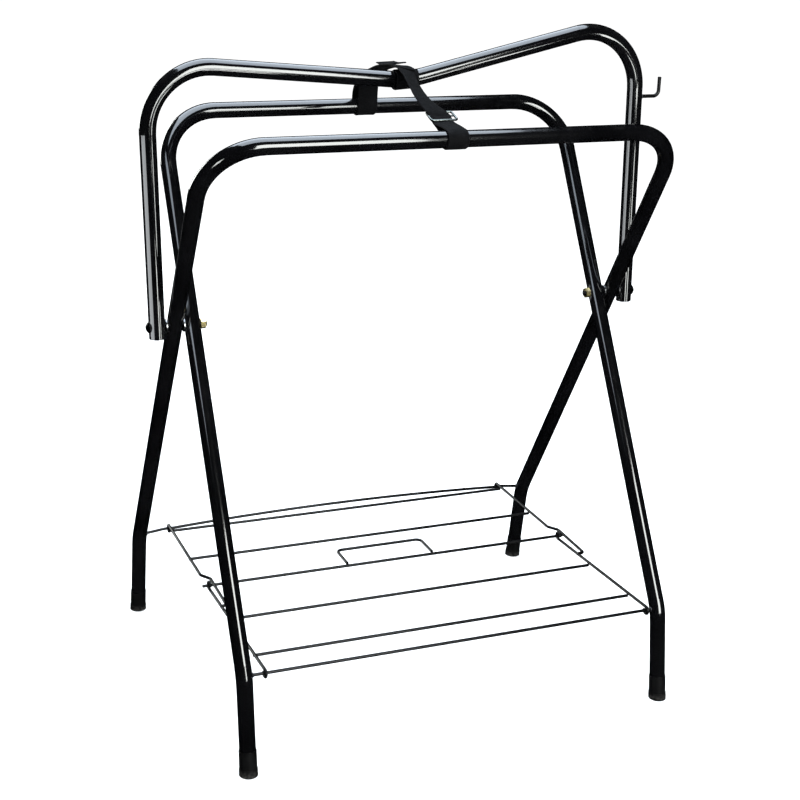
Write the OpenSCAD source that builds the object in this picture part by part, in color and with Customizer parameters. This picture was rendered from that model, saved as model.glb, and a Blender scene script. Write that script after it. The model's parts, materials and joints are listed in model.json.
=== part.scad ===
// Folding saddle rack: three bent tube frames that pivot on two bolts, a wire shelf
// that folds up from its middle, a webbing strap that limits the spread, and a bridle hook.
// X runs along the rails, Y from front to back, Z up from the floor.

/* [Tube] */
// Outside diameter of every frame tube
tube_d = 22.2; // [21:0.1:23]
// Wall thickness of the tube
tube_wall = 1.4; // [1:0.1:2]
// Centreline radius of the front and back rails' corners
corner_bend = 77; // [70:1:80]
// Centreline radius of the ridge's two corners
ridge_bend = 81; // [70:1:90]
// Centreline radius of the bend above each foot
knee_bend = 75; // [60:5:90]

/* [Stand] */
// Height of the front and back rail centrelines
rail_h = 802; // [790:1:810]
// Distance from the middle to each rail
rail_y = 153; // [150:1:160]
// Height of the pivot bolts
pivot_h = 540; // [535:1:545]
// Height of the bend above each foot
knee_h = 131; // [125:1:135]
// Distance from the middle to each foot
foot_y = 258; // [252:1:264]
// Spacing of neighbouring legs along a pivot bolt
leg_pitch = 24.2; // [24.2:0.1:25]

/* [Ridge] */
// Half the distance between the ridge legs at the pivot
ridge_half = 357; // [357:0.5:360]
// Height of the ridge tube at its dip
dip_h = 857.5; // [850:0.5:865]
// Position of the dip along the ridge
dip_x = -7; // [-20:1:10]
// Rise of the ridge from the dip to the left, in degrees
rise_left = 4.7; // [3:0.1:6]
// Rise of the ridge from the dip to the right, in degrees
rise_right = 13; // [10:0.1:14]
// Lean of the ridge legs to the left, in degrees
lean = 1.7; // [0.5:0.1:2]
// Centreline radius of the dip
dip_bend = 150; // [120:10:200]

/* [Shelf] */
// Diameter of the shelf wire
wire_d = 4.6; // [4.4:0.1:4.8]
// Height of the shelf's front tie rod
shelf_h = 133; // [131:1:135]
// Upward slope of the shelf towards the back, in degrees
shelf_tilt = 1; // [0:0.1:1.2]
// Half the distance between the two side wires of each half
shelf_half = 285; // [284.5:0.1:285.2]
// Distance of the rear tie rod behind the middle
rear_rod_y = 236; // [235:1:237]
// Distance of the front tie rod before the middle
front_rod_y = 238; // [237:1:239]
// Position of the shelf's own hinge rod behind the middle
hinge_y = 26; // [24:1:30]
// Upward bow of the rear tie rod
rod_bow = 15; // [12:1:18]

/* [Strap] */
// Width of the webbing
strap_w = 30; // [26:1:34]
// Thickness of the webbing
strap_t = 1.8; // [1.5:0.1:2]
// Position of the strap along the ridge
strap_x = -4; // [-8:1:0]

/* [Hardware] */
// Diameter of the pivot bolts
bolt_d = 8; // [8:0.1:8.4]
// Diameter of the bridle hook's rod
hook_d = 5.2; // [5:0.1:6]

/* [Hidden] */
$fn = 64;

enamel = "#101012";
vinyl = "#1b1b1d";
zinc = "#b9bcc0";
yellow_zinc = "#b79a4a";
webbing = "#17171a";

tube_r = tube_d / 2;
bore_r = tube_r - tube_wall;
wire_r = wire_d / 2;
bolt_r = bolt_d / 2;
join = 0.2;      // how far a straight reaches into the bend beside it
swell = 0.012;   // how much thicker a bend is than its straights, as a part of its radius
run_fit = 0.05;  // radial clearance of the legs on the pivot bolts
poke = 1;        // how far a cutter reaches past what it cuts
weld = 0.15;     // how far a welded rod enters what it is welded to

a_half = ridge_half - leg_pitch;
b_half = ridge_half - 2 * leg_pitch;
leg_a = atan(rail_y / (rail_h - pivot_h));
knee_y = (pivot_h - knee_h) * tan(leg_a);
foot_a = atan((foot_y - knee_y) / knee_h);

function hundredths(v) = round(v * 100) / 100;
function trim(bend_r, turn) = bend_r * tan(turn / 2);

// A run of tube: each step is [straight length, roll before the bend, bend radius, bend angle].
module elbow(bend_r, turn, r) {
  translate([bend_r, 0, 0]) rotate([90, 0, 180])
    rotate_extrude(angle = turn, $fn = bend_r > 1000 ? 1440 : 96) translate([bend_r, 0]) circle(r = r);
}
module run(steps, r, ends = 0, i = 0) {
  s = steps[i];
  last = len(s) == 1;
  z0 = i == 0 ? -ends : -join;
  z1 = s[0] + (last ? ends : join);
  translate([0, 0, z0]) cylinder(r = r, h = z1 - z0);
  if (!last) translate([0, 0, s[0]]) rotate([0, 0, s[1]]) {
    elbow(s[2], s[3], r * (1 + swell));
    translate([s[2], 0, 0]) rotate([0, s[3], 0]) translate([-s[2], 0, 0]) run(steps, r, ends, i + 1);
  }
}
module tube(steps) {
  difference() {
    run(steps, tube_r);
    run(steps, bore_r, poke);
  }
}
module x_cylinder(x0, x1, r) { translate([x0, 0, 0]) rotate([0, 90, 0]) cylinder(r = r, h = x1 - x0); }

// The bounding box is centred on X = 0 between the hook and the ridge's left corner.
corner_reach = ridge_half + 18.8;
hook_z = 827;
hook_up = 27;
hook_bend = 8;
hook_weld = 0.05;
hook_x = 388;
shift_x = (hook_x + hook_d / 2 - corner_reach) / 2;
module place() { translate([-shift_x, 0, 0]) children(); }
// The shelf is drawn level at the front tie rod's height and turned about that rod.
module on_shelf() {
  place() translate([0, -front_rod_y, shelf_h]) rotate([shelf_tilt, 0, 0])
    translate([0, front_rod_y, -shelf_h]) children();
}

// ---- ridge frame ----
leg_tail = 16;
left_slope = tan(rise_left);
right_slope = tan(rise_right);
ridge_left = (dip_h - pivot_h + (dip_x + ridge_half) * left_slope) / (cos(lean) - sin(lean) * left_slope);
ridge_right = (dip_h - pivot_h + (ridge_half - dip_x) * right_slope) / (cos(lean) + sin(lean) * right_slope);
left_turn = 90 + lean + rise_left;
right_turn = 90 + rise_right - lean;
dip_turn = rise_left + rise_right;
left_run = (dip_x + ridge_half + ridge_left * sin(lean)) / cos(rise_left);
right_run = (ridge_half - ridge_right * sin(lean) - dip_x) / cos(rise_right);
left_trim = trim(ridge_bend, left_turn);
dip_trim = trim(dip_bend, dip_turn);
right_trim = trim(ridge_bend, right_turn);
ridge_steps = [
  [hundredths(leg_tail + ridge_left - left_trim), 0, ridge_bend, left_turn],
  [hundredths(left_run - left_trim - dip_trim), 180, dip_bend, dip_turn],
  [hundredths(right_run - dip_trim - right_trim), 180, ridge_bend, right_turn],
  [hundredths(leg_tail + ridge_right - right_trim)]];
module pivot_bore(half, r) {
  for (side = [-1, 1]) translate([side * half, 0, pivot_h]) x_cylinder(-tube_r - poke, tube_r + poke, r);
}
module ridge_frame() {
  color(enamel) place() difference() {
    translate([-ridge_half + leg_tail * sin(lean), 0, pivot_h - leg_tail * cos(lean)])
      rotate([0, -lean, 0]) tube(ridge_steps);
    pivot_bore(ridge_half, bolt_r + run_fit);
  }
}

// ---- the two rail frames that form the legs ----
tip_floor = 5;
knee_turn = leg_a - foot_a;
foot_run = norm([foot_y - knee_y, knee_h]) - trim(knee_bend, knee_turn);
leg_run = norm([rail_y + knee_y, rail_h - knee_h]) - trim(knee_bend, knee_turn) - corner_bend;
function rail_steps(half) = [
  [hundredths(foot_run - tip_floor), 0, knee_bend, knee_turn],
  [hundredths(leg_run), 90, corner_bend, 90],
  [hundredths(2 * half - 2 * corner_bend), 0, corner_bend, 90],
  [hundredths(leg_run), -90, knee_bend, knee_turn],
  [hundredths(foot_run - tip_floor)]];
module rail_frame(half) {
  difference() {
    translate([-half, foot_y, 0]) rotate([foot_a, 0, 0]) rotate([0, 0, -90])
      translate([0, 0, tip_floor]) tube(rail_steps(half));
    pivot_bore(half, bolt_r + run_fit);
  }
}
module front_rail_frame() { color(enamel) place() rail_frame(a_half); }
module back_rail_frame() { color(enamel) place() rotate([0, 0, 180]) rail_frame(b_half); }

// ---- foot tips ----
tip_r = tube_r + 0.8;
tip_flare = tube_r + 1.4;
tip_h = 34;
flare_h = 9;
tip_fit = 0.04;
module foot_tip(half) {
  intersection() {
    translate([half, foot_y, 0]) rotate([foot_a, 0, 0]) difference() {
      union() {
        translate([0, 0, -tip_floor]) cylinder(r = tip_r, h = tip_h + tip_floor);
        translate([0, 0, -tip_floor]) cylinder(r = tip_flare, h = flare_h + tip_floor);
      }
      translate([0, 0, tip_floor - tip_fit]) cylinder(r = tube_r + tip_fit, h = tip_h);
    }
    translate([half - 2 * tube_d, foot_y - 2 * tube_d, 0]) cube([4 * tube_d, 4 * tube_d, 2 * tip_h]);
  }
}
module foot_tip_rear_left() { color(vinyl) place() foot_tip(-a_half); }
module foot_tip_rear_right() { color(vinyl) place() foot_tip(a_half); }
module foot_tip_front_left() { color(vinyl) place() rotate([0, 0, 180]) foot_tip(b_half); }
module foot_tip_front_right() { color(vinyl) place() rotate([0, 0, 180]) foot_tip(-b_half); }

// ---- pivot hardware, drawn for the right side ----
module flip() { mirror([1, 0, 0]) children(); }
head_gap = 0.1;
head_h = 4.2;
head_r = 8;
nut_h = 6.5;
nut_flats = 13;
nut_gap = 0.4;
washer_t = 1.4;
washer_r = 9.5;
nut_x = b_half - tube_r - nut_gap - nut_h;
thread_out = 2;
// turned about the bolt's own axis, from the threaded end to the domed head
module pivot_bolt() {
  dome_r = (head_r * head_r + head_h * head_h) / (2 * head_h);
  shank = ridge_half + tube_r + head_gap - nut_x + thread_out;
  translate([nut_x - thread_out, 0, pivot_h]) rotate([0, 90, 0]) rotate_extrude() {
    square([bolt_r, shank]);
    translate([0, shank]) intersection() {
      translate([0, head_h - dome_r]) circle(r = dome_r);
      square([head_r, head_h]);
    }
  }
}
module lock_nut() {
  translate([nut_x, 0, pivot_h]) rotate([0, 90, 0]) difference() {
    cylinder(r = nut_flats / 2 / cos(30), h = nut_h, $fn = 6);
    translate([0, 0, -poke]) cylinder(r = bolt_r + run_fit, h = nut_h + 2 * poke);
  }
}
module washer(mid) {
  translate([mid, 0, pivot_h]) difference() {
    x_cylinder(-washer_t / 2, washer_t / 2, washer_r);
    x_cylinder(-washer_t, washer_t, bolt_r + run_fit);
  }
}
outer_gap_x = ridge_half - leg_pitch / 2;
inner_gap_x = a_half - leg_pitch / 2;
module pivot_bolt_left() { color(zinc) place() flip() pivot_bolt(); }
module pivot_bolt_right() { color(zinc) place() pivot_bolt(); }
module lock_nut_left() { color(yellow_zinc) place() flip() lock_nut(); }
module lock_nut_right() { color(yellow_zinc) place() lock_nut(); }
module outer_washer_left() { color(zinc) place() flip() washer(outer_gap_x); }
module outer_washer_right() { color(zinc) place() washer(outer_gap_x); }
module inner_washer_left() { color(zinc) place() flip() washer(inner_gap_x); }
module inner_washer_right() { color(zinc) place() washer(inner_gap_x); }

// ---- bridle hook on the right ridge leg ----
module bridle_hook() {
  leg_x = ridge_half - (hook_z - pivot_h) * tan(lean) + tube_r;
  start_x = leg_x - hook_weld;
  color(enamel) place() translate([start_x, 0, hook_z]) rotate([0, 90, 0]) rotate([0, 0, 180])
    run([[hundredths(hook_x - hook_bend - start_x), 0, hook_bend, 90], [hook_up - hook_bend]], hook_d / 2);
}

// ---- tie rods ----
curl_r = wire_d + 0.35;
rear_x = -1;          // middle of the rear half
front_x = 4.5;        // middle of the front half
// the rear rod runs level through the two curls, bows up between them and drops to the legs outside them
seat = 12;
seat_bend = 40;
rod_a = 2 * atan(rod_bow / 2 / shelf_half);
bow_len = shelf_half - seat / 2;
bow_r = (bow_len - cos(rod_a)) / sin(rod_a) - seat_bend;
drop_a = 7;
function drop_len(reach) = (reach - seat / 2 - seat_bend * sin(drop_a)) / cos(drop_a);
rear_reach = a_half - tube_r + weld;
module rear_tie_rod() {
  left_len = drop_len(rear_reach - shelf_half + rear_x);
  right_len = drop_len(rear_reach - shelf_half - rear_x);
  drop = left_len * sin(drop_a) + seat_bend * (1 - cos(drop_a));
  color(enamel) on_shelf() translate([-rear_reach, rear_rod_y, shelf_h - drop]) rotate([0, 90 - drop_a, 0])
    run([
      [hundredths(left_len), 0, seat_bend, drop_a],
      [seat, 180, seat_bend, rod_a],
      [1, 180, bow_r, 2 * rod_a],
      [1, 180, seat_bend, rod_a],
      [seat, 180, seat_bend, drop_a],
      [hundredths(right_len)]], wire_r);
}
module front_tie_rod() {
  reach = b_half - tube_r + weld;
  color(enamel) on_shelf() translate([0, -front_rod_y, shelf_h]) x_cylinder(-reach, reach, wire_r);
}

// ---- shelf, rear half: its side wires curl over the rear tie rod and run on past the hinge as stops ----
curl_a = 265;
curl_tail = 0.6;
jog_a = 35;
jog_bend = 10;
jog_out = 10.6;
jog_slope = (jog_out - 2 * jog_bend * (1 - cos(jog_a))) / sin(jog_a);
jog_y = 2 * jog_bend * sin(jog_a) + jog_slope * cos(jog_a);
jog_end_y = hinge_y + 8;
stop_dip = 1.5;
stop_bend = 5;
stop_end_y = -44;
stop_run = jog_end_y - stop_end_y - stop_bend;
module rear_side_wire(side) {
  start_a = 90 - curl_a;
  color(enamel) on_shelf() translate([rear_x + side * shelf_half, rear_rod_y, shelf_h])
    rotate([start_a, 0, 0]) translate([0, curl_r, 0]) rotate([0, 0, -90]) translate([0, 0, -curl_tail])
    run([
      [curl_tail, 0, curl_r, curl_a],
      [hundredths(rear_rod_y - jog_end_y - jog_y), 90, jog_bend, jog_a],
      [hundredths(jog_slope), 180, jog_bend, jog_a],
      [2, 90, 20, stop_dip],
      [stop_run, -90, stop_bend, 90],
      [4]], wire_r);
}
module rear_side_wire_left() { rear_side_wire(-1); }
module rear_side_wire_right() { rear_side_wire(1); }
cross_drop = wire_d - weld;
module cross_wire(mid, y, z, half) { translate([mid, y, z]) x_cylinder(-half, half, wire_r); }
rear_wire_z = shelf_h + curl_r - cross_drop;
back_wire_y = rear_rod_y - 12;
middle_wire_y = 118;
module rear_cross_wire(y) { color(enamel) on_shelf() cross_wire(rear_x, y, rear_wire_z, shelf_half); }
module rear_cross_wire_back() { rear_cross_wire(back_wire_y); }
module rear_cross_wire_middle() { rear_cross_wire(middle_wire_y); }
hinge_x = 3.2;
hinge_half = shelf_half + 8.6;
pad_r = 1.2;
module shelf_hinge_rod() {
  color(enamel) on_shelf() {
    cross_wire(hinge_x, hinge_y, shelf_h, hinge_half);
    for (side = [-1, 1]) translate([rear_x + side * shelf_half + jog_out, hinge_y, shelf_h])
      cylinder(r = pad_r, h = curl_r - wire_r);
  }
}
handle_half = 69;
handle_bend = 9;
handle_depth = 47;
handle_x = 2;
module shelf_handle() {
  reach = handle_depth - handle_bend;
  color(enamel) on_shelf() translate([handle_x - handle_half, hinge_y - wire_r / 2, shelf_h + cross_drop])
    rotate([-90, 0, 0]) rotate([0, 0, -90]) run([
      [reach, 90, handle_bend, 90],
      [2 * (handle_half - handle_bend), 0, handle_bend, 90],
      [reach]], wire_r);
}

// ---- shelf, front half: its side wires curl under the hinge rod and over the front tie rod ----
front_gap = hinge_y + front_rod_y;
front_tilt = asin(2 * curl_r / front_gap);
front_run = sqrt(front_gap * front_gap - 4 * curl_r * curl_r);
module front_side_wire(side) {
  start_a = curl_a - 90;
  color(enamel) on_shelf() translate([front_x + side * shelf_half, hinge_y, shelf_h])
    rotate([start_a, 0, 0]) translate([0, curl_r, 0]) rotate([180, 0, -90]) translate([0, 0, -curl_tail])
    run([
      [curl_tail, 0, curl_r, curl_a + front_tilt],
      [hundredths(front_run), 180, curl_r, curl_a],
      [curl_tail]], wire_r);
}
module front_side_wire_left() { front_side_wire(-1); }
module front_side_wire_right() { front_side_wire(1); }
function front_wire_z(y) = shelf_h - curl_r / cos(front_tilt) + (hinge_y - y) * tan(front_tilt) - cross_drop;
inner_wire_y = -72;
outer_wire_y = -187;
module front_cross_wire(y) { color(enamel) on_shelf() cross_wire(front_x, y, front_wire_z(y), shelf_half); }
module front_cross_wire_middle() { front_cross_wire(inner_wire_y); }
module front_cross_wire_front() { front_cross_wire(outer_wire_y); }

// ---- strap ----
loop_gap = 0.3;
wrap_gap = 1.4;
loop_mid = tube_r + loop_gap + strap_t / 2;
wrap_mid = tube_r + wrap_gap + strap_t / 2;
strap_slope = (rise_right - rise_left) / 2;
ridge_z = dip_h + dip_bend * (1 / cos(dip_turn / 2) - 1) + (strap_x - dip_x) * tan(strap_slope);
module on_ridge() { place() translate([strap_x, 0, ridge_z]) rotate([0, -strap_slope, 0]) children(); }
module band(mid_r, a, start) {
  rotate([0, 90, 0]) rotate([0, 0, start]) translate([0, 0, -strap_w / 2])
    rotate_extrude(angle = a) translate([mid_r - strap_t / 2, 0]) square([strap_t, strap_w]);
}
module strap_ridge_wrap() { color(webbing) on_ridge() band(wrap_mid, 200, -100); }
module rail_loop(y, a, start) {
  color(webbing) place() translate([strap_x, y, rail_h]) band(loop_mid, a, start);
}
module strap_front_loop() { rail_loop(-rail_y, 285, 182); }
module strap_rear_loop() { rail_loop(rail_y, 300, 240); }
// a span is a bent sheet along [Y, Z] points, measured from the middle of the ridge tube
function heading(p, i) = let (a = p[max(i - 1, 0)], b = p[min(i + 1, len(p) - 1)]) (b - a) / norm(b - a);
function edge(p, i, lift) = p[i] + lift * [-heading(p, i).y, heading(p, i).x];
module sheet(p) {
  last = len(p) - 1;
  rotate([90, 0, 90]) translate([0, 0, -strap_w / 2]) linear_extrude(strap_w) polygon(concat(
    [for (i = [0:last]) edge(p, i, strap_t / 2)],
    [for (i = [last:-1:0]) edge(p, i, -strap_t / 2)]));
}
crest = tube_r + 2.4;
rail_drop = ridge_z - rail_h;
rear_path = [[0.5, crest], [25, 13], [60, 9.5], [95, 1], [128, -12], [148, -24],
  [160, 20 - rail_drop], [165, 11 - rail_drop]];
front_path = [[0.5, crest], [16, 10.5], [31, 1.5], [48, -5.5], [76, -19.5], [97, -29], [122, -40],
  [147, 15.5 - rail_drop]];
module strap_rear_span() { color(webbing) on_ridge() sheet(rear_path); }
module strap_front_span() { color(webbing) on_ridge() mirror([0, 1, 0]) sheet(front_path); }
buckle_bar = 2.8;
buckle_from = [99, -29.88];
buckle_to = [120, -39.12];
module strap_buckle() {
  w = strap_w + 2 * buckle_bar;
  along = buckle_to - buckle_from;
  l = norm(along);
  lift = strap_t / 2 + loop_gap + buckle_bar / 2;
  color(zinc) on_ridge() mirror([0, 1, 0]) translate([0, buckle_from.x, buckle_from.y])
    rotate([atan2(along.y, along.x), 0, 0]) translate([0, 0, lift]) {
      for (y = [0, l / 2, l]) translate([0, y, 0]) x_cylinder(-w / 2, w / 2, buckle_bar / 2);
      for (side = [-1, 1]) translate([side * (w - buckle_bar) / 2, 0, 0])
        rotate([-90, 0, 0]) cylinder(r = buckle_bar / 2 * (1 + swell), h = l);
    }
}

ridge_frame();
front_rail_frame();
back_rail_frame();
rear_tie_rod();
front_tie_rod();
foot_tip_front_left();
foot_tip_front_right();
foot_tip_rear_left();
foot_tip_rear_right();
pivot_bolt_left();
pivot_bolt_right();
lock_nut_left();
lock_nut_right();
outer_washer_left();
outer_washer_right();
inner_washer_left();
inner_washer_right();
bridle_hook();
shelf_hinge_rod();
shelf_handle();
rear_side_wire_left();
rear_side_wire_right();
rear_cross_wire_back();
rear_cross_wire_middle();
front_side_wire_left();
front_side_wire_right();
front_cross_wire_middle();
front_cross_wire_front();
strap_ridge_wrap();
strap_front_loop();
strap_rear_loop();
strap_front_span();
strap_rear_span();
strap_buckle();
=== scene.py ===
"""Looks for the folding saddle rack: materials, webbing strap, buckle, weld beads, studio and camera."""

import json
import math

import bpy
import numpy as np
from mathutils import Matrix, Vector


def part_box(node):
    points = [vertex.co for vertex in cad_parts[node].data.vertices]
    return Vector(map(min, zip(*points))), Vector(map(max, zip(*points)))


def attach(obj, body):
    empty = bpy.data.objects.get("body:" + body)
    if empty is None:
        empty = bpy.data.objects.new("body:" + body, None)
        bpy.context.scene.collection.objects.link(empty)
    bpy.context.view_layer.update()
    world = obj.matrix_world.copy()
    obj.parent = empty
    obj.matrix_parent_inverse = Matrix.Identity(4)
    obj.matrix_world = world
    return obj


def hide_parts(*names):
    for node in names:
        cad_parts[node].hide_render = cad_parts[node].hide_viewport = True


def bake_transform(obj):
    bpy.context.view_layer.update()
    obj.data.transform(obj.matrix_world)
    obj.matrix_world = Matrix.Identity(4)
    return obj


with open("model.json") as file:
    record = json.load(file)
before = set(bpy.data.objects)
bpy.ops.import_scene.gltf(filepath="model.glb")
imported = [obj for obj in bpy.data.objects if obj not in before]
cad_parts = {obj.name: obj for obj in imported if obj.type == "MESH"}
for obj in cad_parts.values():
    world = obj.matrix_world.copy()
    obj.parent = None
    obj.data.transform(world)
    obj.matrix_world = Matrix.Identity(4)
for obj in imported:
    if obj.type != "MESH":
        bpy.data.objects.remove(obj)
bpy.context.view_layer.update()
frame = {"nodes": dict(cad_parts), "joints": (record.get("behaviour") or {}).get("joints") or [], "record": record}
nodes = frame["nodes"]
joints = {j["name"]: j for j in frame["joints"]}
MM = 0.001


# ---------------------------------------------------------------- places read from the frame

pivot = Vector(joints["front_rail_fold"]["pos_m"])


def middle(node):
    lo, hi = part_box(node)
    return (lo + hi) / 2


front_loop = middle("strap_front_loop")
rear_loop = middle("strap_rear_loop")
loop_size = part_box("strap_front_loop")
RAIL_R = 11.1 * MM
BAND_T = 1.8 * MM
BAND_W = loop_size[1].x - loop_size[0].x
strap_x = front_loop.x

# the strap's front span starts this far above the ridge tube's axis, on its slope
CREST = 14.4 * MM
RIDGE_SLOPE = math.radians(4.15)
ridge = Vector((strap_x, 0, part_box("strap_front_span")[1].z - CREST - BAND_W / 2 * math.sin(RIDGE_SLOPE)))


# ---------------------------------------------------------------- node helpers


class Shader:
    """A small wrapper that makes a material's nodes and links in the order they are read."""

    def __init__(self, name):
        self.material = bpy.data.materials.new(name)
        self.material.use_nodes = True
        self.tree = self.material.node_tree
        self.bsdf = self.tree.nodes["Principled BSDF"]

    def node(self, kind, **inputs):
        made = self.tree.nodes.new(kind)
        for key, value in inputs.items():
            if key in made.inputs:
                self.feed(made.inputs[key], value)
            else:
                setattr(made, key, value)
        return made

    def feed(self, socket, value):
        if isinstance(value, bpy.types.NodeSocket):
            self.tree.links.new(value, socket)
        else:
            socket.default_value = value

    def place(self):
        """The point in the row frame, which stays with the piece as it moves."""
        return self.node("ShaderNodeTexCoord").outputs["Object"]

    def split(self, vector):
        made = self.node("ShaderNodeSeparateXYZ", Vector=vector)
        return made.outputs["X"], made.outputs["Y"], made.outputs["Z"]

    def math(self, operation, a, b=0.0, clamp=False):
        made = self.node("ShaderNodeMath", operation=operation, use_clamp=clamp)
        self.feed(made.inputs[0], a)
        self.feed(made.inputs[1], b)
        return made.outputs[0]

    def stretched(self, vector, scale):
        made = self.node("ShaderNodeVectorMath", operation="MULTIPLY")
        self.feed(made.inputs[0], vector)
        made.inputs[1].default_value = scale
        return made.outputs[0]

    def noise(self, scale, detail=3.0, rough=0.5, vector=None):
        made = self.node("ShaderNodeTexNoise", Scale=scale, Detail=detail, Roughness=rough)
        self.feed(made.inputs["Vector"], vector if vector is not None else self.place())
        return made.outputs["Fac"]

    def spots(self, scale):
        made = self.node("ShaderNodeTexVoronoi", Scale=scale)
        self.feed(made.inputs["Vector"], self.place())
        return made.outputs["Distance"]

    def ramp(self, value, low, high, a=0.0, b=1.0):
        made = self.node("ShaderNodeMapRange", clamp=True)
        made.interpolation_type = "SMOOTHSTEP"
        self.feed(made.inputs["Value"], value)
        for key, x in (("From Min", low), ("From Max", high), ("To Min", a), ("To Max", b)):
            made.inputs[key].default_value = x
        return made.outputs["Result"]

    def mix(self, factor, a, b):
        made = self.node("ShaderNodeMix", data_type="RGBA")
        self.feed(made.inputs["Factor"], factor)
        colours = [s for s in made.inputs if s.type == "RGBA"]
        self.feed(colours[0], (*a, 1) if isinstance(a, tuple) and len(a) == 3 else a)
        self.feed(colours[1], (*b, 1) if isinstance(b, tuple) and len(b) == 3 else b)
        return [s for s in made.outputs if s.type == "RGBA"][0]

    def bump(self, height, distance, strength=1.0, normal=None):
        made = self.node("ShaderNodeBump", Strength=strength, Distance=distance, Height=height)
        if normal is not None:
            self.feed(made.inputs["Normal"], normal)
        return made.outputs["Normal"]

    def set(self, **inputs):
        for key, value in inputs.items():
            self.feed(self.bsdf.inputs[key.replace("_", " ")], value)
        return self.material


def facing_up(s, low, high):
    """0 on walls and undersides, 1 on tops, from the surface's own normal."""
    z = s.split(s.node("ShaderNodeNewGeometry").outputs["Normal"])[2]
    return s.ramp(z, low, high)


# ---------------------------------------------------------------- materials


def rubbed_ring(s, inner, outer):
    """1 in a ring round the pivot bolts, where the legs and washers rub."""
    x, y, z = s.split(s.place())
    dy = s.math("SUBTRACT", y, pivot.y)
    dz = s.math("SUBTRACT", z, pivot.z)
    reach = s.math("SQRT", s.math("ADD", s.math("MULTIPLY", dy, dy), s.math("MULTIPLY", dz, dz)))
    ragged = s.math("ADD", reach, s.ramp(s.noise(900.0, 4.0), 0.3, 0.7, -0.0015, 0.0015))
    worn = s.math("MULTIPLY", s.ramp(ragged, outer, inner), s.ramp(s.noise(260.0, 5.0), 0.42, 0.6))
    sideways = s.split(s.node("ShaderNodeNewGeometry").outputs["Normal"])[0]
    return s.math("MULTIPLY", worn, s.ramp(s.math("ABSOLUTE", sideways), 0.80, 0.97))


def tube_enamel():
    s = Shader("tube_enamel")
    cloud = s.noise(14.0, 4.0)
    scuff = s.ramp(s.noise(120.0, 8.0, 0.65, s.stretched(s.place(), (1.0, 1.0, 0.35))), 0.60, 0.74)
    dust = s.math("MULTIPLY", facing_up(s, 0.3, 1.0), s.ramp(s.noise(70.0, 6.0), 0.45, 0.75))
    rubbed = rubbed_ring(s, 0.010, 0.0135)
    black = s.mix(s.ramp(cloud, 0.3, 0.7), (0.0010, 0.0010, 0.0012), (0.0022, 0.0022, 0.0026))
    dusty = s.mix(s.math("MULTIPLY", dust, 0.03), black, (0.16, 0.155, 0.145))
    worn = s.mix(s.math("MULTIPLY", rubbed, 0.6), dusty, (0.10, 0.10, 0.105))
    gloss = s.ramp(cloud, 0.25, 0.75, 0.07, 0.12)
    rough = s.math("ADD", gloss, s.math("MULTIPLY", scuff, 0.07))
    rough = s.math("ADD", rough, s.math("MULTIPLY", dust, 0.05))
    rough = s.math("ADD", rough, s.math("MULTIPLY", rubbed, 0.25))
    peel = s.bump(s.noise(420.0, 2.0), 0.00006, 0.30)
    speck = s.bump(s.ramp(s.spots(640.0), 0.0, 0.16, 1.0, 0.0), 0.00004, 0.35, peel)
    return s.set(Base_Color=worn, Roughness=rough, Normal=speck, IOR=1.52, Coat_Weight=0.55,
                 Coat_Roughness=0.035, Coat_IOR=1.5)


def wire_enamel():
    s = Shader("wire_enamel")
    chips = s.ramp(s.noise(330.0, 6.0, 0.62), 0.69, 0.73)
    cloud = s.noise(40.0, 4.0)
    black = s.mix(s.ramp(cloud, 0.3, 0.7), (0.0016, 0.0016, 0.0018), (0.0036, 0.0036, 0.0040))
    chipped = s.mix(s.math("MULTIPLY", chips, 0.7), black, (0.24, 0.22, 0.20))
    rough = s.math("ADD", s.ramp(cloud, 0.25, 0.75, 0.24, 0.34), s.math("MULTIPLY", chips, 0.3))
    peel = s.bump(s.noise(700.0, 3.0), 0.00006, 0.4)
    return s.set(Base_Color=chipped, Roughness=rough, Normal=peel, IOR=1.5, Specular_IOR_Level=0.15,
                 Coat_Weight=0.06, Coat_Roughness=0.12)


def vinyl_tip():
    s = Shader("vinyl_tip")
    height = s.split(s.place())[2]
    floor_wear = s.math("MULTIPLY", s.ramp(height, 0.012, 0.001), s.ramp(s.noise(300.0, 6.0), 0.35, 0.65))
    grain = s.noise(1500.0, 3.0)
    tone = s.mix(s.ramp(s.noise(60.0, 4.0), 0.3, 0.7), (0.0014, 0.0014, 0.0015), (0.0030, 0.0030, 0.0032))
    scuffed = s.mix(s.math("MULTIPLY", floor_wear, 0.5), tone, (0.05, 0.048, 0.044))
    rough = s.math("ADD", s.ramp(grain, 0.3, 0.7, 0.36, 0.50), s.math("MULTIPLY", floor_wear, 0.25))
    return s.set(Base_Color=scuffed, Roughness=rough, Normal=s.bump(grain, 0.00008, 0.5), IOR=1.5,
                 Specular_IOR_Level=0.12)


def plated(name, dark, light, low, high, streak):
    """A plated steel: a clouded colour, tool marks and fine scratches."""
    s = Shader(name)
    marks = s.noise(520.0, 5.0, 0.6, s.stretched(s.place(), streak))
    cloud = s.noise(180.0, 4.0)
    tone = s.mix(s.ramp(cloud, 0.3, 0.7), dark, light)
    rough = s.math("ADD", s.ramp(marks, 0.3, 0.7, low, high), s.ramp(cloud, 0.5, 0.8, 0.0, 0.08))
    return s.set(Base_Color=tone, Metallic=1.0, Roughness=rough, Normal=s.bump(marks, 0.00005, 0.5))


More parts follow.
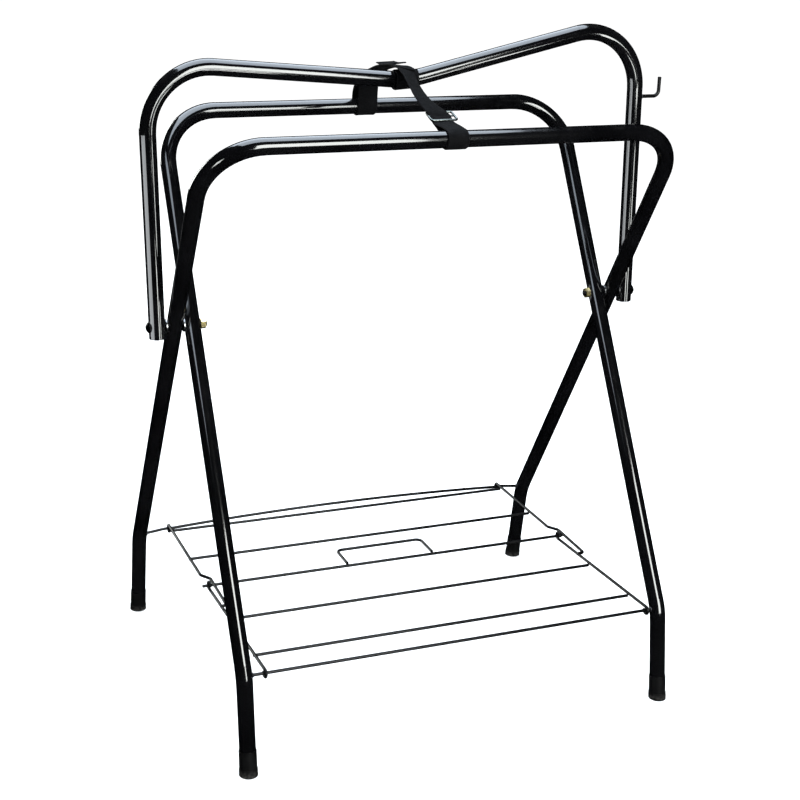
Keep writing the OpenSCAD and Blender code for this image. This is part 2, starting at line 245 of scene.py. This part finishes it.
def yellow_zinc():
    s = Shader("yellow_zinc")
    film = s.noise(150.0, 4.0, 0.6)
    gold = s.mix(s.ramp(film, 0.35, 0.5), (0.62, 0.47, 0.17), (0.80, 0.68, 0.33))
    tinted = s.mix(s.ramp(film, 0.55, 0.68), gold, (0.66, 0.52, 0.36))
    marks = s.noise(900.0, 4.0)
    return s.set(Base_Color=tinted, Metallic=1.0, Roughness=s.ramp(marks, 0.3, 0.7, 0.20, 0.34),
                 Normal=s.bump(marks, 0.00004, 0.5))


THREAD = 0.00115     # spacing of the webbing's ribs along its length
RIB = 0.00150        # spacing of its warp cords across its width


def webbing():
    """Tubular nylon webbing: warp cords across the width, crossed by weft picks that step over and under."""
    s = Shader("webbing")
    across, along, _ = s.split(s.node("ShaderNodeTexCoord").outputs["UV"])
    cord = s.math("MULTIPLY", across, 2 * math.pi / RIB)
    pick = s.math("MULTIPLY", along, 2 * math.pi / THREAD)
    side = s.math("SIGN", s.math("SINE", s.math("MULTIPLY", cord, 0.5)))
    stepped = s.math("ADD", pick, s.math("MULTIPLY", side, math.pi / 2))
    crown = s.math("ABSOLUTE", s.math("COSINE", s.math("MULTIPLY", cord, 0.5)))
    weft = s.math("MULTIPLY", s.math("ADD", s.math("SINE", stepped), 1.0), 0.5)
    height = s.math("ADD", s.math("MULTIPLY", crown, 0.55), s.math("MULTIPLY", weft, 0.45))
    fuzz = s.noise(2600.0, 3.0, 0.6)
    worn = s.ramp(s.noise(90.0, 5.0), 0.52, 0.72)
    # painted shade: the weave's hollows are painted darker and its crowns lighter, following the same height as
    # the rib bump
    tone = s.mix(s.ramp(height, 0.1, 0.9), (0.0006, 0.0006, 0.0007), (0.0034, 0.0035, 0.0042))
    faded = s.mix(s.math("MULTIPLY", worn, 0.3), tone, (0.0075, 0.0075, 0.0088))
    lint = s.mix(s.ramp(fuzz, 0.66, 0.74, 0.0, 0.35), faded, (0.045, 0.045, 0.050))
    ribs = s.bump(height, 0.00022, 0.9)
    hairs = s.bump(fuzz, 0.00010, 0.35, ribs)
    return s.set(Base_Color=lint, Roughness=s.ramp(height, 0.0, 1.0, 0.78, 0.52), Normal=hairs,
                 Sheen_Weight=0.01, Sheen_Roughness=0.4, IOR=1.45, Specular_IOR_Level=0.05)


def sewing_thread():
    s = Shader("sewing_thread")
    ply = s.noise(3200.0, 2.0, 0.5, s.stretched(s.place(), (1.0, 0.4, 1.0)))
    tone = s.mix(s.ramp(ply, 0.3, 0.7), (0.012, 0.012, 0.014), (0.045, 0.045, 0.05))
    return s.set(Base_Color=tone, Roughness=s.ramp(ply, 0.3, 0.7, 0.45, 0.7), Normal=s.bump(ply, 0.0001, 0.8))


def weld_bead():
    s = Shader("weld_bead")
    ripples = s.noise(520.0, 3.0, 0.55)
    tone = s.mix(s.ramp(ripples, 0.35, 0.65), (0.006, 0.006, 0.007), (0.016, 0.016, 0.018))
    return s.set(Base_Color=tone, Roughness=s.ramp(ripples, 0.3, 0.7, 0.14, 0.30),
                 Normal=s.bump(ripples, 0.0004, 0.6), Coat_Weight=0.4, Coat_Roughness=0.1)


materials = {
    "tube_enamel": tube_enamel(),
    "wire_enamel": wire_enamel(),
    "vinyl_tip": vinyl_tip(),
    "bolt_steel": plated("bolt_steel", (0.015, 0.015, 0.017), (0.05, 0.05, 0.053), 0.24, 0.40, (1.0, 1.0, 0.4)),
    "zinc": plated("zinc", (0.20, 0.20, 0.21), (0.42, 0.43, 0.44), 0.22, 0.36, (1.0, 0.3, 1.0)),
    "yellow_zinc": yellow_zinc(),
    "webbing": webbing(),
    "buckle_steel": plated("buckle_steel", (0.085, 0.096, 0.092), (0.14, 0.155, 0.15), 0.10, 0.22,
                           (0.25, 1.0, 1.0)),
}
thread_material = sewing_thread()
weld_material = weld_bead()

for part in frame["record"]["subparts"]:
    mesh = nodes[part["node"]].data
    mesh.materials.clear()
    mesh.materials.append(materials[part["material_slot"]])


# ---------------------------------------------------------------- mesh helpers


def new_mesh(name, verts, faces, material, uvs=None, smooth=True):
    mesh = bpy.data.meshes.new(name)
    mesh.from_pydata([tuple(v) for v in verts], [], faces)
    mesh.validate()
    if uvs is not None:
        layer = mesh.uv_layers.new(name="strap")
        for loop in mesh.loops:
            layer.data[loop.index].uv = uvs[loop.vertex_index]
    mesh.materials.append(material)
    if smooth:
        mesh.polygons.foreach_set("use_smooth", [True] * len(mesh.polygons))
    obj = bpy.data.objects.new(name, mesh)
    bpy.context.scene.collection.objects.link(obj)
    return obj


def smooth_path(points, spacing):
    """A Catmull-Rom curve through the points, resampled at an even spacing."""
    p = np.array([points[0]] + list(points) + [points[-1]], float)
    p[0] = 2 * p[1] - p[2]
    p[-1] = 2 * p[-2] - p[-3]
    out = []
    for i in range(1, len(p) - 2):
        for t in np.linspace(0, 1, 24, endpoint=False):
            a, b, c, d = p[i - 1], p[i], p[i + 1], p[i + 2]
            out.append(0.5 * (2 * b + (c - a) * t + (2 * a - 5 * b + 4 * c - d) * t * t
                              + (3 * b - a - 3 * c + d) * t ** 3))
    out.append(p[-2])
    out = np.array(out)
    lengths = np.concatenate([[0], np.cumsum(np.linalg.norm(np.diff(out, axis=0), axis=1))])
    count = max(2, int(round(lengths[-1] / spacing)))
    even = np.linspace(0, lengths[-1], count + 1)
    return np.stack([np.interp(even, lengths, out[:, k]) for k in range(out.shape[1])], 1), even


def webbing_section(sides=17):
    """The webbing's section as (place across, half thickness) pairs: thin edges with a rib beside each."""
    half = []
    for i in range(sides):
        across = -1 + 2 * i / (sides - 1)
        edge = max(0.0, (abs(across) - 0.90) / 0.10)
        rib = 1 + 0.16 * math.exp(-((abs(across) - 0.86) / 0.05) ** 2)
        half.append((across, 0.5 * math.sqrt(max(0.0, 1 - edge * edge)) * rib))
    return half + [(across, -h) for across, h in reversed(half[1:-1])]


STRAP_STEP = 1.6 * MM       # spacing of the rings along a strap
WOBBLE = 0.012              # how much the webbing's width wanders
WOBBLE_LENGTH = 11 * MM


def ribbon(name, points, width, thick, material, cup=0.0):
    """Flat webbing along (x, y, z, roll) points, cut and sealed at both ends."""
    path, lengths = smooth_path(points, STRAP_STEP)
    tangent = np.gradient(path[:, :3], axis=0)
    tangent /= np.linalg.norm(tangent, axis=1)[:, None]
    across_x = np.array([1.0, 0, 0])
    ring = webbing_section()
    verts, uvs = [], []
    for k in range(len(path)):
        roll = path[k, 3]
        up = np.cross(across_x, tangent[k])
        up /= np.linalg.norm(up)
        wide = across_x * math.cos(roll) + up * math.sin(roll)
        out = up * math.cos(roll) - across_x * math.sin(roll)
        wander = 1 + WOBBLE * math.sin(lengths[k] / WOBBLE_LENGTH + 1.3)
        for u, h in ring:
            verts.append(path[k, :3] + wide * (u * width / 2 * wander) + out * (h * thick + cup * (1 - u * u)))
            uvs.append((u * width / 2, lengths[k]))
    n = len(ring)
    faces = [(k * n + i, k * n + (i + 1) % n, (k + 1) * n + (i + 1) % n, (k + 1) * n + i)
             for k in range(len(path) - 1) for i in range(n)]
    faces.append(tuple(range(n - 1, -1, -1)))
    faces.append(tuple((len(path) - 1) * n + i for i in range(n)))
    return new_mesh(name, verts, faces, material, uvs)


def rod(name, points, radius, material, closed=True, sides=20):
    """A round rod swept along a closed or open line of points."""
    p = np.array(points, float)
    count = len(p)
    ahead = np.roll(p, -1, 0) - np.roll(p, 1, 0) if closed else np.gradient(p, axis=0)
    ahead /= np.linalg.norm(ahead, axis=1)[:, None]
    verts = []
    normal = np.cross(ahead[0], [0.0, 0.0, 1.0])
    if np.linalg.norm(normal) < 1e-3:
        normal = np.cross(ahead[0], [0.0, 1.0, 0.0])
    for k in range(count):
        normal = normal - ahead[k] * (normal @ ahead[k])
        normal /= np.linalg.norm(normal)
        other = np.cross(ahead[k], normal)
        for i in range(sides):
            a = 2 * math.pi * i / sides
            verts.append(p[k] + radius * (normal * math.cos(a) + other * math.sin(a)))
    faces = []
    last = count if closed else count - 1
    for k in range(last):
        m = (k + 1) % count
        for i in range(sides):
            j = (i + 1) % sides
            faces.append((k * sides + i, k * sides + j, m * sides + j, m * sides + i))
    if not closed:
        faces.append(tuple(range(sides - 1, -1, -1)))
        faces.append(tuple((count - 1) * sides + i for i in range(sides)))
    return new_mesh(name, verts, faces, material)


# ---------------------------------------------------------------- strap

LOOP_R = RAIL_R + 0.35 * MM + BAND_T / 2


def on_circle(centre, radius, degrees, x=0.0, roll=0.0):
    """A strap point at an angle round a tube: 0 is +Y, 90 is up."""
    a = math.radians(degrees)
    return (centre.x + x, centre.y + radius * math.cos(a), centre.z + radius * math.sin(a), roll)


def webbing_points(rows):
    """Strap points from (y, height above the ridge's axis, offset along X, roll) rows in millimetres."""
    return [(strap_x + x * MM, y * MM, ridge.z + z * MM, roll) for y, z, x, roll in rows]


LOOP_SHIFT = 1.0            # how far along X the front loop lies from the strap's middle, in mm
REAR_SHIFT = -3.5           # and the rear loop
CUP = 0.2 * MM


def front_strap():
    """Its sewn end under the buckle, round the front rail, under the buckle's lower bar and up to the ridge."""
    under = webbing_points([
        (-99, -33.5, 0, 0), (-107, -37.5, 0, 0), (-117, -43.6, 1, 0), (-127, -47.4, 1, 0), (-135, -51.5, 1, 0)])
    round_rail = [on_circle(front_loop, LOOP_R, a, LOOP_SHIFT * MM)
                  for a in (-5, -35, -65, -95, -125, -155, -185, -215, -245, -268)]
    top = webbing_points([
        (-140, -43.6, 1, 0), (-128, -42.6, 0, 0.02), (-118.5, -40.6, -1, 0.04), (-111, -35.6, -2, 0.06),
        (-104, -30.6, -3.6, 0.0), (-96, -27.0, -5.6, -0.08), (-76, -18.0, -10.0, -0.30),
        (-60, -11.0, -10.8, -0.42), (-44, -3.4, -10.6, -0.50), (-28, 4.6, -10.4, -0.50),
        (-13, 11.8, -10.2, -0.34)])
    over = webbing_points([(-2, 14.3, -9.8, -0.15), (8, 14.1, -9.4, -0.12)])
    points = under + round_rail + top + over
    return ribbon("strap_front_webbing", points, BAND_W, BAND_T, materials["webbing"], CUP)


def rear_arch():
    """The slack arch behind the ridge, from the back rail's top to the ridge."""
    return webbing_points([
        (163.5, -40.5, -3.5, 0), (158, -29.0, -3.5, 0), (149, -21.0, -3.5, 0.02), (138, -14.4, -3.6, 0.03),
        (128, -9.4, -3.8, 0.04), (112, -2.6, -4.2, 0.05), (95, 2.6, -4.8, 0.06), (78, 6.8, -5.6, 0.08),
        (60, 10.2, -6.6, 0.09), (42, 13.0, -7.6, 0.10), (25, 15.2, -8.6, 0.11), (10, 16.3, -9.4, 0.12),
        (-3, 16.1, -9.8, 0.15), (-10, 14.8, -10.0, 0.22)])


def rear_strap():
    """Its sewn end under the arch, down to the back rail, round it, and the arch over to the ridge."""
    under = webbing_points([
        (102, -0.9, -4.5, 0), (112, -4.6, -4.2, 0), (121, -8.4, -4.0, 0), (130, -13.2, -3.8, 0),
        (135.5, -20, -3.6, 0), (138.6, -31, -3.5, 0), (140.2, -44, -3.5, 0)])
    round_rail = [on_circle(rear_loop, LOOP_R, a, REAR_SHIFT * MM) for a in (180, 210, 240, 270, 300, 330, 358)]
    points = under + round_rail + rear_arch()
    return ribbon("strap_rear_webbing", points, BAND_W, BAND_T, materials["webbing"], CUP)


WRAP_SHIFT = -6.5 * MM
WRAP_SLACK = 0.6 * MM
WRAP_W = 1.06 * BAND_W
TAIL_W = 0.97 * BAND_W


def ridge_wrap():
    """The band sewn round the ridge tube under the strap."""
    c = Vector((ridge.x + WRAP_SHIFT, ridge.y, ridge.z))
    points = [on_circle(c, LOOP_R + WRAP_SLACK, a, 0.0, -RIDGE_SLOPE * math.sin(math.radians(a)))
              for a in range(-250, 71, 20)]
    return ribbon("strap_ridge_band", points, WRAP_W, BAND_T, materials["webbing"])


def tail():
    """The short cut end that stands a little off the arch."""
    points = webbing_points([
        (26, 17.2, -7.6, 0.10), (38, 15.8, -7.2, 0.09), (50, 14.4, -6.8, 0.08), (61, 14.0, -6.6, 0.06),
        (70, 14.4, -6.6, 0.04)])
    return ribbon("strap_free_end", points, TAIL_W, BAND_T, materials["webbing"])


strap_front = front_strap()
strap_rear = rear_strap()
band = ridge_wrap()
free_end = tail()


def buckle():
    """A cast slide buckle: a rounded rectangle of rod with a middle bar, mostly under the strap."""
    top_bar, low_bar = Vector((0, -97.5, -31.2)) * MM, Vector((0, -118.0, -38.6)) * MM
    d = (top_bar - low_bar).normalized()
    up = Vector((0, -d.z, d.y))
    half_w, half_l, corner, r = 18.2 * MM, (top_bar - low_bar).length / 2, 3.0 * MM, 1.5 * MM
    centre = Vector((strap_x + 1.5 * MM, 0, ridge.z)) + (top_bar + low_bar) / 2
    outline = []
    for sx, sy, start in ((1, 1, 0), (-1, 1, 90), (-1, -1, 180), (1, -1, 270)):
        for k in range(7):
            a = math.radians(start + 15 * k)
            outline.append((sx * (half_w - corner) + corner * math.cos(a),
                            sy * (half_l - corner) + corner * math.sin(a)))

    def put(x, y, z=0.0):
        return centre + Vector((x, 0, 0)) + d * y + up * z

    frame_rod = rod("buckle_frame", [put(x, y) for x, y in outline], r, materials["buckle_steel"])
    bar = rod("buckle_bar", [put(x, 1.0 * MM, -0.5 * MM) for x in np.linspace(-half_w, half_w, 24)], r * 0.8,
              materials["buckle_steel"], closed=False)
    return frame_rod, bar


buckle_frame, buckle_bar = buckle()


STITCH_HALF = 1.15 * MM
STITCH_R = 0.34 * MM
STITCH_SIDES = 8


def stitches(name, rows, count, inset):
    """Rows of short stitches across the webbing, each row from (y, height, x offset, slope)."""
    verts, faces = [], []
    for y, z, x, slope in rows:
        for i in range(count):
            at = strap_x + x * MM + (i / (count - 1) - 0.5) * (BAND_W - 2 * inset)
            base = len(verts)
            for end in (-STITCH_HALF, STITCH_HALF):
                for k in range(STITCH_SIDES):
                    a = 2 * math.pi * k / STITCH_SIDES
                    ty, tz = STITCH_R * math.cos(a), STITCH_R * math.sin(a)
                    verts.append((at + end, y * MM + ty, ridge.z + z * MM + ty * slope + tz))
            for k in range(STITCH_SIDES):
                m = (k + 1) % STITCH_SIDES
                faces.append((base + k, base + m, base + STITCH_SIDES + m, base + STITCH_SIDES + k))
            faces.append(tuple(base + k for k in range(STITCH_SIDES - 1, -1, -1)))
            faces.append(tuple(base + STITCH_SIDES + k for k in range(STITCH_SIDES)))
    return new_mesh(name, verts, faces, thread_material)


rear_rows = [(106, 1.25, -4.4, -0.4), (109, 0.05, -4.3, -0.4), (127, -7.9, -3.8, -0.5), (130, -9.3, -3.8, -0.5)]
rear_stitches = stitches("strap_rear_stitches", rear_rows, 9, 3.0 * MM)

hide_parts("strap_front_loop", "strap_front_span")
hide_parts("strap_rear_loop", "strap_rear_span")
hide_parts("strap_ridge_wrap")
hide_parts("strap_buckle")

for piece in (strap_front, buckle_frame, buckle_bar):
    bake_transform(piece)
for piece in (strap_rear, free_end, rear_stitches):
    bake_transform(piece)
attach(band, "ridge")


# ---------------------------------------------------------------- weld beads


BEAD_POINTS = 28


def bead(name, at, radius, thick, body):
    """A rippled ring of weld round the end of a rod that runs along X."""
    points = []
    for k in range(BEAD_POINTS):
        a = 2 * math.pi * k / BEAD_POINTS
        r = radius + 0.18 * MM * math.sin(5 * a + 0.7) + 0.10 * MM * math.sin(11 * a)
        points.append((at[0], at[1] + r * math.cos(a), at[2] + r * math.sin(a)))
    ring = rod(name, points, thick, weld_material, sides=12)
    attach(ring, body)


ROD_R = 2.4 * MM


def end_beads(node, body, sink, level):
    """Beads where a tie rod meets the tube at each of its ends; a bowed rod's ends are at its lowest."""
    lo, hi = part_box(node)
    z = (lo.z + hi.z) / 2 if level else lo.z + ROD_R
    for side, x in (("left", lo.x + sink), ("right", hi.x - sink)):
        bead(f"weld_{node}_{side}", (x, (lo.y + hi.y) / 2, z), 2.5 * MM, 0.9 * MM, body)


end_beads("front_tie_rod", "back_rail_legs", 0.7 * MM, True)
end_beads("rear_tie_rod", "front_rail_legs", 0.9 * MM, False)
HOOK_R = 2.63 * MM
hook_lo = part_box("bridle_hook")[0]
bead("weld_bridle_hook", (hook_lo.x + 0.7 * MM, 0.0, hook_lo.z + HOOK_R), 2.8 * MM, 0.95 * MM, "ridge")


# ---------------------------------------------------------------- studio

FLOOR = 60.0
corners = [(-FLOOR, -FLOOR, 0), (FLOOR, -FLOOR, 0), (FLOOR, FLOOR, 0), (-FLOOR, FLOOR, 0)]
floor = new_mesh("studio_floor", corners, [(0, 1, 2, 3)], None, smooth=False)


def floor_paint():
    s = Shader("studio_floor")
    tone = s.mix(s.ramp(s.noise(3.0, 3.0), 0.3, 0.7), (0.93, 0.93, 0.93), (0.95, 0.95, 0.95))
    return s.set(Base_Color=tone, Roughness=0.9, Specular_IOR_Level=0.1)


floor.data.materials.clear()
floor.data.materials.append(floor_paint())

WORLD_LIGHT = 1.15
world = bpy.data.worlds.new("studio")
world.use_nodes = True
world.node_tree.nodes["Background"].inputs["Color"].default_value = (1, 1, 1, 1)
world.node_tree.nodes["Background"].inputs["Strength"].default_value = WORLD_LIGHT
bpy.context.scene.world = world
# enamel mirrors the softboxes only, so that black stays black on a pale floor
world.cycles_visibility.glossy = False
floor.visible_glossy = False
bpy.context.scene.view_settings.view_transform = "Standard"


def softbox(name, at, towards, width, height, watts, colour, only=None):
    """A rectangular area light; with only, it lights just that node."""
    light = bpy.data.lights.new(name, "AREA")
    light.shape = "RECTANGLE"
    light.size, light.size_y = width, height
    light.energy = watts
    light.color = colour
    obj = bpy.data.objects.new(name, light)
    bpy.context.scene.collection.objects.link(obj)
    obj.location = at
    obj.rotation_mode = "QUATERNION"
    obj.rotation_quaternion = (Vector(towards) - Vector(at)).to_track_quat("-Z", "Y")
    obj.visible_camera = False
    if only is not None:
        receivers = bpy.data.collections.new(name + "_receivers")
        receivers.objects.link(only)
        obj.light_linking.receiver_collection = receivers
    return obj


COOL, NEUTRAL, WARM = (0.78, 0.88, 1.0), (0.93, 0.97, 1.0), (0.97, 1.0, 0.97)
softbox("overhead", (0.05, 0.5, 2.6), (0.05, 0.5, 0.0), 1.9, 2.8, 100, COOL)
softbox("front_panel", (0.55, -3.0, 1.3), (0.1, 0.0, 0.7), 1.25, 1.9, 105, WARM)
softbox("back_panel", (-1.4, 3.2, 1.2), (0.0, 0.0, 0.6), 1.6, 1.6, 60, WARM)
# low strips that draw the two bright lines down the ridge's legs
ridge_node = nodes["ridge_frame"]
softbox("left_strip", (-1.9, -0.35, 0.15), (0.0, -0.35, 0.15), 1.7, 0.7, 20, NEUTRAL, ridge_node)
softbox("front_strip_a", (0.16, -1.45, 0.15), (-0.3, 0.0, 0.15), 0.22, 0.7, 7, WARM, ridge_node)
softbox("front_strip_b", (0.96, -1.45, 0.15), (0.4, 0.0, 0.15), 0.22, 0.7, 7, WARM, ridge_node)
# the soft line down the back rail's legs
softbox("upper_left", (-1.6, -0.9, 1.9), (0.3, 0.1, 0.65), 0.9, 0.9, 11, COOL, nodes["back_rail_frame"])
# the bright spot on the front rail's left corner
softbox("corner_spot", (-1.68, -1.55, 0.77), (-0.26, -0.15, 0.76), 0.5, 0.5, 8, WARM, nodes["front_rail_frame"])


# ---------------------------------------------------------------- camera

AZ, EL, ROLL = math.radians(21.84), math.radians(18.27), math.radians(1.52)
DISTANCE = 2.1811
TARGET = Vector((-0.0554, 0.0, 0.4251))
FOCAL, CENTRE_U, CENTRE_V = 1530.16, 365.44, 387.93
IMAGE = 800
SENSOR = 36.0

cam_data = bpy.data.cameras.new("camera")
cam_data.sensor_width = SENSOR
cam_data.lens = FOCAL * SENSOR / IMAGE
cam_data.shift_x = (IMAGE / 2 - CENTRE_U) / IMAGE
cam_data.shift_y = (CENTRE_V - IMAGE / 2) / IMAGE
cam_data.clip_end = 200
camera = bpy.data.objects.new("camera", cam_data)
bpy.context.scene.collection.objects.link(camera)
forward = Vector((math.sin(AZ) * math.cos(EL), math.cos(AZ) * math.cos(EL), -math.sin(EL)))
level = Vector((math.cos(AZ), -math.sin(AZ), 0))
upward = level.cross(forward)
right = level * math.cos(ROLL) + upward * math.sin(ROLL)
above = -level * math.sin(ROLL) + upward * math.cos(ROLL)
shift = Vector((joints["front_rail_fold"]["pos_m"][0], 0, 0))
place = TARGET + shift - forward * DISTANCE
camera.matrix_world = Matrix((
    (right.x, above.x, -forward.x, place.x),
    (right.y, above.y, -forward.y, place.y),
    (right.z, above.z, -forward.z, place.z),
    (0, 0, 0, 1)))
bpy.context.scene.camera = camera
